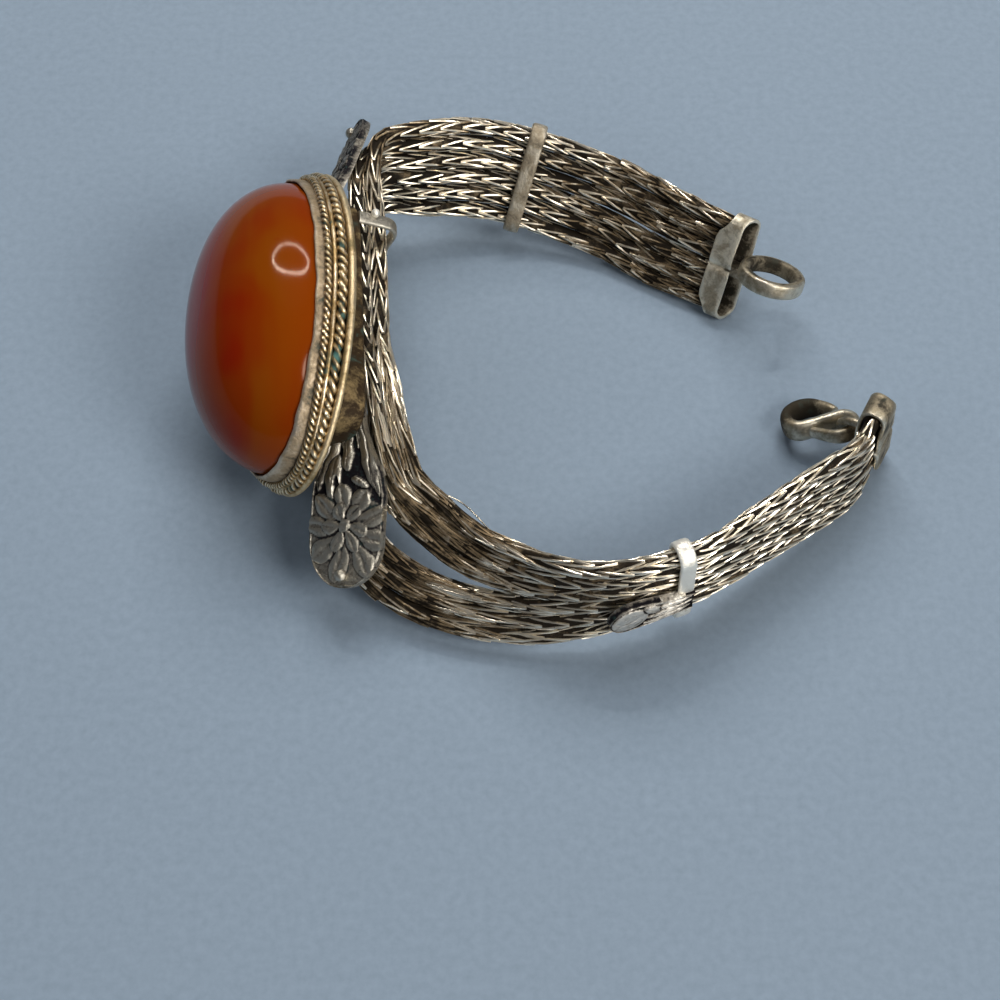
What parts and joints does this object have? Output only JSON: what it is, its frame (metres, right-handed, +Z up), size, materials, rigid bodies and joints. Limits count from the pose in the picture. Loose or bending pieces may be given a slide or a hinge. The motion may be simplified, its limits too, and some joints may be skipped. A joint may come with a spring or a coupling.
{
  "type": "cabochon chain bracelet",
  "caption": "Bracelet of round woven silver chains side by side, with a large oval orange cabochon, leaf plates, strap sliders and a hook and eye, lying unclasped on its edge.",
  "frame": {"origin": "on the table, under the middle of the bounding box of the whole bracelet", "axes": "+Z up from the table, +X from the stone towards the clasp, +Y from the near side of the picture to the far side"},
  "size_m": [0.0948, 0.0761, 0.032],
  "materials": {
    "woven_silver": "woven wire, bright on top and blackened between the wires",
    "gilt_silver": "worn gilding over silver, dark in the relief",
    "sheet_silver": "worn satin with dark tarnish",
    "orange_stone": "polished, slightly translucent"
  },
  "bodies": {
    "root": {"chain_1": "woven_silver", "chain_2": "woven_silver", "chain_3": "woven_silver", "chain_4": "woven_silver", "chain_5": "woven_silver", "chain_6": "woven_silver", "setting": "gilt_silver", "stone": "orange_stone", "slider_far": "sheet_silver", "slider_near": "sheet_silver", "cap_far": "sheet_silver", "cap_near": "sheet_silver", "hook": "sheet_silver"}
  },
  "joints": []
}
